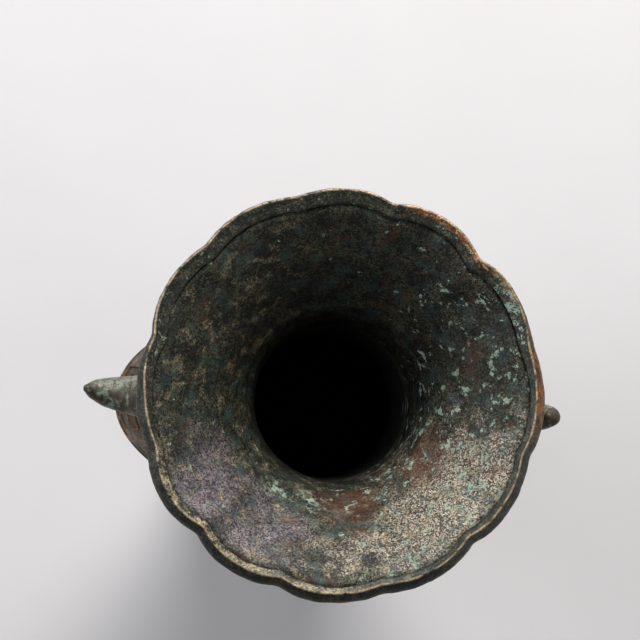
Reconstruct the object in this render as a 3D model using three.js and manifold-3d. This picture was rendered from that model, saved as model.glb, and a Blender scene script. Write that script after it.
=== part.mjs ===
// A cast bronze flower vase of Chinese form: a twelve-lobed trumpet mouth on a round neck, a flattened ovoid
// belly and an oval lobed foot, with an elephant-head lug on each side of the neck.
// Millimetres, +Z up. The origin is the middle of the foot's underside, and the lugs lie along X.
import * as THREE from "three";
import { mergeVertices } from "three/addons/utils/BufferGeometryUtils.js";
import Module from "manifold-3d";

const wasm = await Module();
wasm.setup();

// Driving dimensions
const HEIGHT = 330;
const MOUTH_RADIUS = 70;
const LOBES = 12;
const LOBE_ARC_RADIUS = 36;
const LOBE_FADE_START = 7;
const LOBE_FADE_LENGTH = 36;
const WALL = 3;
const SEAM = 0.35;
const NECK_RADIUS = 31.5;
const NECK_FOOT = 222;
const FLARE_START = 262;
const FLARE_POWER = 2.6;
const SPIGOT_RADIUS = NECK_RADIUS - 1.5;
const SPIGOT_BORE = 27.6;
const SPIGOT_DEPTH = 10;
const STRING_HEIGHT = 279;
const STRING_RELIEF = 1.1;
const BAND_DROP = 4.2;
const BAND_WIDTH = 3.9;
const BELLY_FOOT = 64;
const BELLY_HALF_WIDTH = 79;
const BELLY_HALF_DEPTH = 41.5;
const BELLY_WIDEST = 160;
const FOOT_HALF_WIDTH = 55;
const FOOT_HALF_DEPTH = 43;
const FOOT_RIM_WIDTH = 6;
const FOOT_LEDGE = 2.6;
const STEM = { a: 36, b: 26.6, wall: 2.6 };
const PLATE_TOP = 53;
const PLATE_THICKNESS = 3;
const TRUNK_REACH = 89;
// How far each trunk's tip and its middle lie to one side: the left one was bent a little.
const RIGHT_TRUNK = { tip: 0, middle: 0 };
const LEFT_TRUNK = { tip: -0.4, middle: 1.3 };
const EAR_THICKNESS = 2.6;
const EAR_SWEEP_DEGREES = 24;
const PIN_RADIUS = 2.2;
const PIN_HEAD_RADIUS = 3.8;
const PIN_HEAD_DEPTH = 1.6;
const PIN_LENGTH = 10;
const PIN_HEIGHTS = { upper: 263, lower: 247 };

// How many points each ring has
const STEPS = 48;

// How far inside the crown circle the lobed outline lies at an angle: each lobe is an arc of LOBE_ARC_RADIUS.
function lobeInset(angle) {
  const pitch = (2 * Math.PI) / LOBES;
  const fromCrown = angle - Math.round(angle / pitch) * pitch;
  const centre = MOUTH_RADIUS - LOBE_ARC_RADIUS;
  const across = centre * Math.sin(fromCrown);
  return MOUTH_RADIUS - centre * Math.cos(fromCrown) - Math.sqrt(LOBE_ARC_RADIUS ** 2 - across ** 2);
}

// One closed ring of an oval of half-axes a and b at height z, with its lobes cut in by a share of their depth.
function ring(a, b, z, lobing) {
  return Array.from({ length: STEPS }, (_, i) => {
    const angle = (2 * Math.PI * i) / STEPS;
    const inset = lobing * lobeInset(angle);
    return new THREE.Vector3((a - inset) * Math.cos(angle), (b - inset) * Math.sin(angle), z);
  });
}

// A skin through rings of equal length. It closes on itself like a tyre, or has a flat cap at each end.
function skin(rings, capped) {
  const steps = rings[0].length;
  const points = rings.flat();
  const faces = [];
  const joined = capped ? rings.length - 1 : rings.length;
  for (let k = 0; k < joined; k++) {
    const low = k * steps;
    const high = ((k + 1) % rings.length) * steps;
    for (let i = 0; i < steps; i++) {
      const next = (i + 1) % steps;
      faces.push(low + i, low + next, high + next, low + i, high + next, high + i);
    }
  }
  if (capped) {
    const middle = (row) => row.reduce((sum, p) => sum.add(p), new THREE.Vector3()).divideScalar(steps);
    const first = points.push(middle(rings[0])) - 1;
    const last = points.push(middle(rings.at(-1))) - 1;
    const top = (rings.length - 1) * steps;
    for (let i = 0; i < steps; i++) {
      const next = (i + 1) % steps;
      faces.push(first, next, i, last, top + i, top + next);
    }
  }
  return new THREE.BufferGeometry().setFromPoints(points).setIndex(faces);
}

// A closed geometry as a solid, and a solid as a geometry
function solid(geometry, matrix = new THREE.Matrix4()) {
  const bare = new THREE.BufferGeometry();
  bare.setAttribute("position", geometry.getAttribute("position").clone());
  bare.setIndex(geometry.index);
  const merged = mergeVertices(bare.applyMatrix4(matrix), 1e-3);
  return new wasm.Manifold(
    new wasm.Mesh({
      numProp: 3,
      vertProperties: merged.getAttribute("position").array,
      triVerts: new Uint32Array(merged.index.array),
    }),
  );
}

function geometryOf(body) {
  const mesh = body.getMesh();
  return new THREE.BufferGeometry()
    .setAttribute("position", new THREE.BufferAttribute(mesh.vertProperties, 3))
    .setIndex(new THREE.BufferAttribute(mesh.triVerts, 1));
}

// The trumpet's outer wall: its radius grows with a power of the height above FLARE_START.
const FLARE_END = { radius: MOUTH_RADIUS - BAND_WIDTH, z: HEIGHT - BAND_DROP };

function flareRadius(z) {
  const share = Math.max(0, (z - FLARE_START) / (FLARE_END.z - FLARE_START));
  return NECK_RADIUS + (FLARE_END.radius - NECK_RADIUS) * share ** FLARE_POWER;
}

// How strongly the lobes show at a height of the mouth: fully near the rim, fading out down the trumpet
function mouthLobing(z) {
  const share = THREE.MathUtils.clamp(1 - (HEIGHT - LOBE_FADE_START - z) / LOBE_FADE_LENGTH, 0, 1);
  return share ** 1.6;
}

// The outer wall of neck and trumpet, bottom to top, with a bow-string line above the lugs
function neckWall() {
  const moulding = [
    [35.2, NECK_FOOT + SEAM],
    [36.6, NECK_FOOT + 1.8],
    [36.6, NECK_FOOT + 5.2],
    [35.2, NECK_FOOT + 6.6],
    [33.4, NECK_FOOT + 7.4],
    [32.6, NECK_FOOT + 10.5],
    [31.9, NECK_FOOT + 18],
    [NECK_RADIUS, NECK_FOOT + 30],
  ].map(([r, z]) => new THREE.Vector2(r, z));
  const string = [-1.4, -0.7, 0.7, 1.4].map((offset) => STRING_HEIGHT + offset);
  const heights = [FLARE_START, ...string, 290, 299, 307, 314, 320];
  const flare = [...heights, FLARE_END.z].map((z) => {
    const raised = Math.abs(z - STRING_HEIGHT) < 1 ? STRING_RELIEF : 0;
    return new THREE.Vector2(flareRadius(z) + raised, z);
  });
  return { moulding, flare };
}

function mouthAndNeck() {
  const { moulding, flare } = neckWall();
  const spigotFoot = NECK_FOOT - SPIGOT_DEPTH;
  const outside = [
    new THREE.Vector2(SPIGOT_RADIUS, spigotFoot),
    new THREE.Vector2(SPIGOT_RADIUS, NECK_FOOT + SEAM),
    ...moulding,
    ...flare,
  ];
  // The bore runs a wall's thickness inside the trumpet, square to its surface.
  const heights = [FLARE_END.z, 320, 314, 307, 299, 290, 278, 262];
  const bore = heights.map((z) => {
    const slope = flareRadius(z + 0.5) - flareRadius(z - 0.5);
    const across = 1 / Math.hypot(1, slope);
    return new THREE.Vector2(flareRadius(z) - WALL * across, z + WALL * across * slope);
  });
  const throat = [new THREE.Vector2(SPIGOT_BORE, NECK_FOOT + SPIGOT_DEPTH), new THREE.Vector2(SPIGOT_BORE, spigotFoot)];
  const rings = [...outside, ...bore, ...throat].map((p) => ring(p.x, p.x, p.y, mouthLobing(p.y)));
  return solid(skin(rings, false));
}

// The rolled band round the mouth: its section's points are radius and drop below the rim's crest.
function rimBand() {
  const section = [
    [66.6, 4.4],
    [68, 6],
    [69.6, 5.4],
    [MOUTH_RADIUS, 4],
    [69, 2],
    [67.6, 0.7],
    [66.2, 0],
    [65.4, 0.5],
    [64.85, 1.75],
  ];
  return solid(skin(section.map(([r, drop]) => ring(r, r, HEIGHT - drop, 1)), false));
}

// Half-width, half-depth and height down the belly's outer wall, drawn as one curve
const bellyLine = new THREE.CatmullRomCurve3([
  new THREE.Vector3(34.6, 34.6, NECK_FOOT),
  new THREE.Vector3(42, 35.2, 214),
  new THREE.Vector3(62, 37.6, 197),
  new THREE.Vector3(75, 40.6, 179),
  new THREE.Vector3(BELLY_HALF_WIDTH, BELLY_HALF_DEPTH, BELLY_WIDEST),
  new THREE.Vector3(75, 40.4, 137),
  new THREE.Vector3(61, 36.6, 109),
  new THREE.Vector3(46, 32.6, 84),
  new THREE.Vector3(40, 30.6, BELLY_FOOT + SEAM),
]);

function belly() {
  const outside = bellyLine.getPoints(15).reverse();
  const low = PLATE_TOP + SEAM;
  const inside = [];
  const shoulder = outside.length - 1;
  for (let i = shoulder; i >= 0; i--) {
    const p = outside[i];
    const before = outside[Math.max(0, i - 1)];
    const after = outside[Math.min(shoulder, i + 1)];
    const rise = Math.max(1e-3, after.z - before.z);
    const thick = (change) => WALL * Math.min(2.2, Math.hypot(1, change / rise));
    inside.push(new THREE.Vector3(p.x - thick(after.x - before.x), p.y - thick(after.y - before.y), p.z));
  }
  // The collar takes the neck's spigot, so its bore is round and clear of it.
  const bore = SPIGOT_RADIUS + SEAM;
  const collar = [new THREE.Vector3(bore, bore, NECK_FOOT), new THREE.Vector3(bore, bore, NECK_FOOT - SPIGOT_DEPTH - 1)];
  const hollow = inside.filter((p, i) => i % 2 === 0 && p.z < NECK_FOOT - SPIGOT_DEPTH - 4 && p.z > BELLY_FOOT + 4);
  const stem = [
    new THREE.Vector3(STEM.a - STEM.wall, STEM.b - STEM.wall, BELLY_FOOT),
    new THREE.Vector3(STEM.a - STEM.wall, STEM.b - STEM.wall, low),
    new THREE.Vector3(STEM.a, STEM.b, low),
    new THREE.Vector3(STEM.a, STEM.b, BELLY_FOOT + SEAM),
  ];
  const rings = [...outside, ...collar, ...hollow, ...stem].map((p) => ring(p.x, p.y, p.z, 0));
  return solid(skin(rings, false));
}

// The foot spreads from a moulded waist to a lobed edge, and has a ledge inside for the base plate.
function foot() {
  const socket = { a: STEM.a + SEAM, b: STEM.b + SEAM };
  const spread = new THREE.CubicBezierCurve3(
    new THREE.Vector3(40.4, 31, 56),
    new THREE.Vector3(40, 30.6, 34),
    new THREE.Vector3(48, 36.6, 22),
    new THREE.Vector3(FOOT_HALF_WIDTH - 2, FOOT_HALF_DEPTH - 2, 11),
  );
  const outside = [
    [FOOT_HALF_WIDTH, FOOT_HALF_DEPTH, 0, 1],
    [FOOT_HALF_WIDTH, FOOT_HALF_DEPTH, 9, 1],
    [FOOT_HALF_WIDTH - 1, FOOT_HALF_DEPTH - 1, 10.5, 1],
    ...spread.getPoints(6).reverse().map((p) => [p.x, p.y, p.z, THREE.MathUtils.clamp(1 - (p.z - 11) / 34, 0, 1)]),
    [42.6, 33.2, 57.2, 0],
    [43.2, 33.8, 59],
    [42.6, 33.2, 61],
    [40.2, 30.8, BELLY_FOOT - 2],
    [40, 30.6, BELLY_FOOT],
  ];
  const seat = PLATE_TOP - PLATE_THICKNESS - SEAM;
  const inside = [
    [socket.a, socket.b, BELLY_FOOT],
    [socket.a, socket.b, seat],
    [socket.a - FOOT_LEDGE, socket.b - FOOT_LEDGE, seat],
    [socket.a - FOOT_LEDGE, socket.b - FOOT_LEDGE, 44],
    [socket.a, socket.b, 41],
    [41, 31, 24],
    [FOOT_HALF_WIDTH - FOOT_RIM_WIDTH, FOOT_HALF_DEPTH - FOOT_RIM_WIDTH, 9, 1],
    [FOOT_HALF_WIDTH - FOOT_RIM_WIDTH, FOOT_HALF_DEPTH - FOOT_RIM_WIDTH, 0, 1],
  ];
  const rings = [...outside, ...inside].map(([a, b, z, lobing = 0]) => ring(a, b, z, lobing));
  return solid(skin(rings, false));
}

function basePlate() {
  const edge = (z) => ring(STEM.a, STEM.b, z, 0);
  return solid(skin([edge(PLATE_TOP - PLATE_THICKNESS), edge(PLATE_TOP)], true));
}

// A tapering limb: round sections square to a curve, closed by a rounded tip
function limb(points, radii, steps, sides) {
  const path = new THREE.CatmullRomCurve3(points);
  const girth = new THREE.CatmullRomCurve3(radii.map((r, i) => new THREE.Vector3(r, i, 0)));
  const section = (share, rounding) => {
    const along = path.getTangent(share);
    const side = new THREE.Vector3(0, 1, 0).addScaledVector(along, -along.y).normalize();
    const up = new THREE.Vector3().crossVectors(along, side);
    const full = girth.getPoint(share).x;
    const centre = path.getPoint(share).addScaledVector(along, full * Math.sin(rounding));
    const radius = full * Math.cos(rounding);
    return Array.from({ length: sides }, (_, i) => {
      const angle = (2 * Math.PI * i) / sides;
      return centre
        .clone()
        .addScaledVector(side, radius * Math.cos(angle))
        .addScaledVector(up, radius * Math.sin(angle));
    });
  };
  const rings = Array.from({ length: steps + 1 }, (_, k) => section(k / steps, 0));
  const tip = [35, 70].map((degrees) => section(1, THREE.MathUtils.degToRad(degrees)));
  return solid(skin([...rings, ...tip], true));
}

function ellipsoid(x, y, z, rx, ry, rz, sides = 14) {
  const matrix = new THREE.Matrix4().makeScale(rx, ry, rz).setPosition(x, y, z);
  return solid(new THREE.SphereGeometry(1, sides, sides / 2), matrix);
}

// A fan-shaped ear: a scalloped plate that leans back from the cheek along the neck
function ear(side) {
  const outline = new THREE.Shape();
  outline.moveTo(-2, -9);
  outline.bezierCurveTo(6, -17, 15, -12, 15.5, -3);
  outline.bezierCurveTo(18.5, 3, 17, 11, 10, 12);
  outline.bezierCurveTo(5, 15.5, -1, 13, -2, 9);
  outline.closePath();
  const plate = new THREE.ExtrudeGeometry(outline, { depth: EAR_THICKNESS, bevelEnabled: false, curveSegments: 5 });
  plate.translate(0, 0, -EAR_THICKNESS / 2);
  // The plate's x runs out sideways, its y up and its thickness along the lug.
  const matrix = new THREE.Matrix4()
    .makeTranslation(41, side * 9, 257)
    .multiply(new THREE.Matrix4().makeRotationZ(side * THREE.MathUtils.degToRad(EAR_SWEEP_DEGREES)))
    .multiply(new THREE.Matrix4().makeBasis(
      new THREE.Vector3(0, side, 0),
      new THREE.Vector3(0, 0, 1),
      new THREE.Vector3(side, 0, 0),
    ));
  return solid(plate, matrix);
}

// A pin along +X from the bore, with a countersunk head and a straight shank. With a clearance it is the pin's hole.
function pin(z, clearance) {
  const head = PIN_HEAD_RADIUS + clearance;
  const shank = PIN_RADIUS + clearance;
  const face = NECK_RADIUS - WALL + 0.4;
  const start = clearance > 0 ? NECK_RADIUS - 2 * WALL : face;
  const end = face + PIN_LENGTH + clearance;
  const outline = [
    new THREE.Vector2(0, start),
    new THREE.Vector2(head, start),
    new THREE.Vector2(head, face + 0.1),
    new THREE.Vector2(shank, face + 0.1 + PIN_HEAD_DEPTH),
    new THREE.Vector2(shank, end),
    new THREE.Vector2(0, end),
  ];
  const matrix = new THREE.Matrix4().makeTranslation(0, 0, z).multiply(new THREE.Matrix4().makeRotationZ(-Math.PI / 2));
  return solid(new THREE.LatheGeometry(outline, 16), matrix);
}

// One lug on the +X side: domed head, swept-out tapering trunk, tusks, jaw, eyes and ears, cut clear of the neck
function elephantLug({ tip, middle }) {
  const trunk = limb(
    [
      new THREE.Vector3(40, 0, 259),
      new THREE.Vector3(52, 0.5 * middle, 257),
      new THREE.Vector3(63, middle, 249),
      new THREE.Vector3(72, 0.85 * middle + 0.15 * tip, 243),
      new THREE.Vector3(80, 0.5 * (middle + tip), 243),
      new THREE.Vector3(85.5, 0.15 * middle + 0.85 * tip, 246.5),
      new THREE.Vector3(TRUNK_REACH - 1.2, tip, 250),
    ],
    [11.4, 10.6, 8.9, 7.4, 5.9, 4, 1.7],
    13,
    12,
  );
  const parts = [trunk, ellipsoid(42, 0, 259, 14.5, 12.6, 14.5), ellipsoid(47, 0, 243.5, 11, 5.4, 5.4, 10)];
  for (const side of [-1, 1]) {
    parts.push(ellipsoid(45, side * 5.2, 267, 9, 6.2, 7.6, 10));
    parts.push(ellipsoid(51, side * 8.6, 260.5, 2.6, 2.6, 2.6, 8));
    parts.push(ear(side));
    parts.push(
      limb(
        [
          new THREE.Vector3(47, side * 8.2, 250),
          new THREE.Vector3(55, side * 10.6, 246.4),
          new THREE.Vector3(62, side * 11.8, 247.2),
          new THREE.Vector3(66.5, side * 11.6, 250.4),
        ],
        [2.7, 2.3, 1.7, 0.7],
        6,
        6,
      ),
    );
  }
  const backing = new THREE.CylinderGeometry(15, 15, 12, 24);
  const facing = new THREE.Matrix4()
    .makeTranslation(34, 0, 255)
    .multiply(new THREE.Matrix4().makeRotationZ(Math.PI / 2));
  parts.push(solid(backing, facing.multiply(new THREE.Matrix4().makeScale(1.15, 1, 0.86))));
  const { moulding, flare } = neckWall();
  const clear = [...moulding.slice(4), ...flare.slice(0, 6)];
  const neck = clear.map((p) => ring(p.x + SEAM, p.x + SEAM, p.y, 0));
  let lug = wasm.Manifold.union(parts).subtract(solid(skin(neck, true)));
  for (const z of Object.values(PIN_HEIGHTS)) lug = lug.subtract(pin(z, SEAM));
  return lug;
}

// The vase, put together
const bronze = {
  inside: new THREE.MeshStandardMaterial({ color: 0x3f4638, roughness: 0.62, metalness: 0.75 }),
  outside: new THREE.MeshStandardMaterial({ color: 0x5a4630, roughness: 0.55, metalness: 0.8 }),
  rim: new THREE.MeshStandardMaterial({ color: 0x7a6240, roughness: 0.5, metalness: 0.8 }),
  green: new THREE.MeshStandardMaterial({ color: 0x5f7464, roughness: 0.7, metalness: 0.6 }),
};

const vase = new THREE.Group();

function add(name, body, material, turn = 0) {
  const mesh = new THREE.Mesh(geometryOf(body), material);
  mesh.name = name;
  mesh.rotation.z = turn;
  vase.add(mesh);
}

let neck = mouthAndNeck();
const halfTurn = new THREE.Matrix4().makeRotationZ(Math.PI);
for (const z of Object.values(PIN_HEIGHTS)) {
  const hole = pin(z, SEAM);
  neck = neck.subtract(hole).subtract(solid(geometryOf(hole), halfTurn));
}
add("mouth_and_neck", neck, bronze.inside);
add("rim_band", rimBand(), bronze.rim);
add("belly", belly(), bronze.outside);
add("foot", foot(), bronze.outside);
add("base_plate", basePlate(), bronze.outside);
add("right_lug", elephantLug(RIGHT_TRUNK), bronze.green);
add("left_lug", elephantLug(LEFT_TRUNK), bronze.green, Math.PI);
for (const [place, z] of Object.entries(PIN_HEIGHTS)) {
  add(`right_lug_${place}_pin`, pin(z, 0), bronze.green);
  add(`left_lug_${place}_pin`, pin(z, 0), bronze.green, Math.PI);
}

export default vase;
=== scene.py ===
"""A cast bronze flower vase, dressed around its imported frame.

The vase stands upright, and the camera looks down into its mouth. Each piece is a surface worked out as
whole arrays with numpy and takes the place of its frame node. Lengths are written in millimetres and become
metres as a mesh is made.
"""

import logging
import math
from dataclasses import dataclass, field
from enum import Enum
from functools import reduce
from typing import Callable, Optional, Sequence, Union

import bpy
import numpy as np
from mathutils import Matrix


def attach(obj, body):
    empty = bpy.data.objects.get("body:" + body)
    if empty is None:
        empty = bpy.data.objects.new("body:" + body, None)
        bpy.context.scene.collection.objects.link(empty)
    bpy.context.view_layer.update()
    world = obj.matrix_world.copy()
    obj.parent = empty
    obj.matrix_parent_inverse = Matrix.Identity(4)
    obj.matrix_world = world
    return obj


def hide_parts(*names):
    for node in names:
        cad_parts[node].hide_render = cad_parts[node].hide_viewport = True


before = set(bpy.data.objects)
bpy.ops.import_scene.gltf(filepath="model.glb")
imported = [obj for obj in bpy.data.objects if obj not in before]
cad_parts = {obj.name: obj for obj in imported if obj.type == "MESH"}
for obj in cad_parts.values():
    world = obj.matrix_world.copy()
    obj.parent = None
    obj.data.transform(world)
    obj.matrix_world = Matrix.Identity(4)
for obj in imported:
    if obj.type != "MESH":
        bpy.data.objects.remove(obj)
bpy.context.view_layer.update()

MM = 0.001
log = logging.getLogger("vase")

Colour = tuple[float, float, float]
Spot = tuple[float, float, float, float]
Socket = bpy.types.NodeSocket
Value = Union[float, Socket]


class Side(Enum):
    """Which side of the neck a lug is on: its value is the sign of its X."""

    RIGHT = 1
    LEFT = -1


# Meshes


def tube_faces(rows: int, columns: int, wraps: bool) -> np.ndarray:
    """Lists the quads of a grid whose columns wrap round.

    Args:
        rows: How many rings the grid has.
        columns: How many points each ring has.
        wraps: Whether the last ring joins the first.

    Returns:
        The quads as an array of four point numbers each.
    """
    row = np.arange(rows if wraps else rows - 1)[:, None]
    column = np.arange(columns)[None, :]
    above = (row + 1) % rows
    beside = (column + 1) % columns
    corners = [
        row * columns + column,
        row * columns + beside,
        above * columns + beside,
        above * columns + column,
    ]
    spread = [np.broadcast_to(corner, (len(row), columns)) for corner in corners]
    return np.stack(spread, axis=-1).reshape(-1, 4)


def signed_volume(points: np.ndarray, quads: np.ndarray) -> float:
    """Sums the tetrahedra between the origin and each face.

    Args:
        points: The surface's points.
        quads: Its faces.

    Returns:
        Six times the volume, which is positive where the faces point outwards.
    """
    a, b, c, d = (points[quads[:, k]] for k in range(4))
    first = np.einsum("ij,ij->i", a, np.cross(b, c))
    second = np.einsum("ij,ij->i", a, np.cross(c, d))
    return float((first + second).sum())


@dataclass
class Shell:
    """A closed surface as points in millimetres and quads, with named numbers kept for each point."""

    points: np.ndarray
    quads: np.ndarray
    marks: dict[str, np.ndarray] = field(default_factory=dict)

    @classmethod
    def tyre(cls, rings: np.ndarray) -> "Shell":
        """Closes a grid of rings on itself, as a vase's wall or a band does.

        Args:
            rings: An array of shape (rows, columns, 3).

        Returns:
            The closed surface, facing outwards.
        """
        rows, columns = rings.shape[:2]
        return cls(rings.reshape(-1, 3), tube_faces(rows, columns, True)).outwards()

    @classmethod
    def limb(cls, rings: np.ndarray) -> "Shell":
        """Closes a grid of rings with a middle point at each end.

        Args:
            rings: An array of shape (rows, columns, 3).

        Returns:
            The closed surface, facing outwards.
        """
        rows, columns = rings.shape[:2]
        ends = np.stack([rings[0].mean(axis=0), rings[-1].mean(axis=0)])
        points = np.concatenate([rings.reshape(-1, 3), ends])
        first = np.arange(columns)
        beside = (first + 1) % columns
        low = np.full(columns, rows * columns)
        top = (rows - 1) * columns
        caps = np.concatenate([
            np.stack([low, beside, first, first], axis=1),
            np.stack([low + 1, top + first, top + beside, top + beside], axis=1),
        ])
        return cls(points, np.concatenate([tube_faces(rows, columns, False), caps])).outwards()

    def outwards(self) -> "Shell":
        """Turns the faces round where they enclose a negative volume."""
        if signed_volume(self.points, self.quads) < 0:
            self.quads = self.quads[:, ::-1]
        return self

    def mirrored(self) -> "Shell":
        """Gives a copy with the sign of Y changed."""
        return Shell(self.points * np.array([1.0, -1.0, 1.0]), self.quads.copy()).outwards()


def joined(shells: Sequence[Shell]) -> Shell:
    """Puts several closed surfaces into one list of points and quads.

    Args:
        shells: The surfaces.

    Returns:
        One shell that holds them all.
    """
    starts = np.cumsum([0] + [len(s.points) for s in shells[:-1]])
    points = np.concatenate([s.points for s in shells])
    quads = np.concatenate([s.quads + start for s, start in zip(shells, starts)])
    return Shell(points, quads)


def mesh_object(name: str, shell: Shell, sharp: float = 50.0) -> bpy.types.Object:
    """Makes a smooth-shaded mesh object at the origin.

    Args:
        name: The piece's name.
        shell: Its surface in millimetres.
        sharp: The angle in degrees past which an edge is shaded sharp.

    Returns:
        The new object, linked to the scene.
    """
    faces = [tuple(dict.fromkeys(q)) for q in shell.quads.tolist()]
    mesh = bpy.data.meshes.new(name)
    mesh.from_pydata(shell.points * MM, [], faces)
    mesh.polygons.foreach_set("use_smooth", np.ones(len(mesh.polygons), dtype=bool))
    mesh.set_sharp_from_angle(angle=math.radians(sharp))
    for mark, values in shell.marks.items():
        mesh.attributes.new(mark, "FLOAT", "POINT").data.foreach_set("value", values.astype(np.float32))
    mesh.update()
    thing = bpy.data.objects.new(name, mesh)
    bpy.context.scene.collection.objects.link(thing)
    return thing


def melted(name: str, shell: Shell, voxel: float, smoothing: int) -> Shell:
    """Melts overlapping closed surfaces into one skin, as wax parts are before casting.

    Args:
        name: A name for the mesh while it is made.
        shell: The overlapping surfaces.
        voxel: The size of the remesh's cells in millimetres.
        smoothing: How many rounds of smoothing follow.

    Returns:
        One closed skin in millimetres.
    """
    draft = mesh_object(name, shell)
    remesh = draft.modifiers.new("melt", "REMESH")
    remesh.mode = "VOXEL"
    remesh.voxel_size = voxel * MM
    soften = draft.modifiers.new("soften", "SMOOTH")
    soften.factor = 0.5
    soften.iterations = smoothing
    ready = draft.evaluated_get(bpy.context.evaluated_depsgraph_get())
    mesh = bpy.data.meshes.new_from_object(ready)
    points = np.empty(len(mesh.vertices) * 3, dtype=np.float32)
    mesh.vertices.foreach_get("co", points)
    sizes = np.empty(len(mesh.polygons), dtype=np.int32)
    mesh.polygons.foreach_get("loop_total", sizes)
    if not (sizes == 4).all():
        raise ValueError(f"{name}: the remesh left faces that aren't quads")
    corners = np.empty(len(mesh.loops), dtype=np.int32)
    mesh.loops.foreach_get("vertex_index", corners)
    bpy.data.objects.remove(draft)
    bpy.data.meshes.remove(mesh)
    return Shell(points.reshape(-1, 3).astype(float) / MM, corners.reshape(-1, 4).astype(int)).outwards()


def lumps(points: np.ndarray, size: float, seed: int, waves: int = 9) -> np.ndarray:
    """Gives an uneven height to each point, as hand-finished castings have.

    It is the mean of plane waves in random directions, each about size long, times 1.6, which brings its
    usual range to about -1 to 1.

    Args:
        points: Points in millimetres, of shape (..., 3).
        size: The length of one wave in millimetres.
        seed: Chooses the directions.
        waves: How many waves are added.

    Returns:
        One height for each point.
    """
    rng = np.random.default_rng(seed)
    directions = rng.normal(size=(waves, 3))
    directions /= np.linalg.norm(directions, axis=1, keepdims=True)
    lengths = 2 * np.pi / (size * rng.uniform(0.6, 1.6, waves))
    phases = rng.uniform(0, 2 * np.pi, waves)
    return np.sin(points @ (directions * lengths[:, None]).T + phases).mean(axis=-1) * 1.6


def point_normals(shell: Shell) -> np.ndarray:
    """Adds up the face normals round each point, which weights them by area, and makes the sum one long.

    Args:
        shell: The surface.

    Returns:
        One outward normal for each point.
    """
    a, b, c, d = (shell.points[shell.quads[:, k]] for k in range(4))
    across = np.cross(c - a, d - b)
    total = np.zeros_like(shell.points)
    for k in range(4):
        np.add.at(total, shell.quads[:, k], across)
    return total / np.maximum(np.linalg.norm(total, axis=1, keepdims=True), 1e-12)


def roughened(shell: Shell, *layers: tuple[float, float, int]) -> Shell:
    """Pushes each point along its normal by layers of lumps.

    Args:
        shell: The surface.
        layers: Each is the height in millimetres, the size in millimetres and the seed.

    Returns:
        The same shell, changed.
    """
    normals = point_normals(shell)
    height = sum(depth * lumps(shell.points, size, seed) for depth, size, seed in layers)
    shell.points = shell.points + normals * height[:, None]
    return shell


def smooth_line(knots: Sequence[Sequence[float]], steps: int, closed: bool = False) -> np.ndarray:
    """Draws a Catmull-Rom curve through its knots.

    Each span is the cubic whose ends are two knots and whose end slopes are half the difference of the knots
    on either side.

    Args:
        knots: The points that the curve passes through.
        steps: How many pieces each span is cut into.
        closed: Whether the curve joins up.

    Returns:
        The points along the curve.
    """
    k = np.asarray(knots, float)
    if closed:
        before, start, end, after = np.roll(k, 1, 0), k, np.roll(k, -1, 0), np.roll(k, -2, 0)
    else:
        padded = np.concatenate([k[:1] * 2 - k[1:2], k, k[-1:] * 2 - k[-2:-1]])
        before, start, end, after = padded[:-3], padded[1:-2], padded[2:-1], padded[3:]
    t = (np.arange(steps) / steps)[None, :, None]
    b, s, e, a = (v[:, None, :] for v in (before, start, end, after))
    line = 0.5 * (2 * s + (e - b) * t + (2 * b - 5 * s + 4 * e - a) * t**2 + (3 * s - b - 3 * e + a) * t**3)
    line = line.reshape(-1, k.shape[1])
    return line if closed else np.concatenate([line, k[-1:]])


# Shapes


@dataclass(frozen=True)
class LobedRim:
    """The mouth's outline as it was hand cut: the radius at each lobe's crown and at each cusp between lobes.

    Angles are in degrees anticlockwise from +X and radii in millimetres.
    """

    crown_angles: tuple[float, ...] = (3, 33, 63, 92, 121, 150, 182, 211, 240, 270, 300, 330)
    crown_radii: tuple[float, ...] = (
        70.4, 70.0, 71.3, 71.9, 72.2, 71.4, 70.2, 71.0, 70.4, 70.4, 70.1, 69.7,
    )
    cusp_angles: tuple[float, ...] = (
        18.2, 48.2, 78.2, 106.2, 135.2, 165.2, 198.2, 226.2, 254.2, 285.2, 315.2, 345.2,
    )
    cusp_radii: tuple[float, ...] = (
        69.0, 67.3, 68.9, 70.7, 69.9, 68.4, 68.9, 67.9, 67.9, 68.6, 67.5, 68.2,
    )
    circle: float = 70.0
    roundness: float = 2.2
    softening: float = 0.9

    def radius(self, angles: np.ndarray) -> np.ndarray:
        """Works out the outline's radius.

        Between two cusps the radius falls from the crown's value to the cusp's by the distance from the
        middle to the power of roundness. It is then blurred by softening degrees, so no cusp is a knife edge.

        Args:
            angles: Evenly spaced angles in radians, once round.

        Returns:
            The radius in millimetres at each angle.
        """
        degrees = np.degrees(angles) % 360
        crown = np.interp(degrees, self.crown_angles, self.crown_radii, period=360)
        cusp = np.interp(degrees, self.cusp_angles, self.cusp_radii, period=360)
        edges = np.asarray(self.cusp_angles)
        lobe = np.searchsorted(edges, degrees) % len(edges)
        end = edges[lobe] + np.where(degrees > edges[-1], 360, 0)
        start = edges[lobe - 1] - np.where((lobe == 0) & (degrees <= edges[0]), 360, 0)
        across = np.abs(2 * (degrees - start) / (end - start) - 1)
        sharp = crown - (crown - cusp) * across**self.roundness
        waves = np.fft.rfft(sharp)
        turns = np.arange(len(waves))
        kept = np.exp(-0.5 * (turns * math.radians(self.softening)) ** 2)
        return np.fft.irfft(waves * kept, len(sharp))

    def inset(self, angles: np.ndarray) -> np.ndarray:
        """Says how far inside the plain circle the outline lies at each angle."""
        return self.circle - self.radius(angles)


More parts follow.
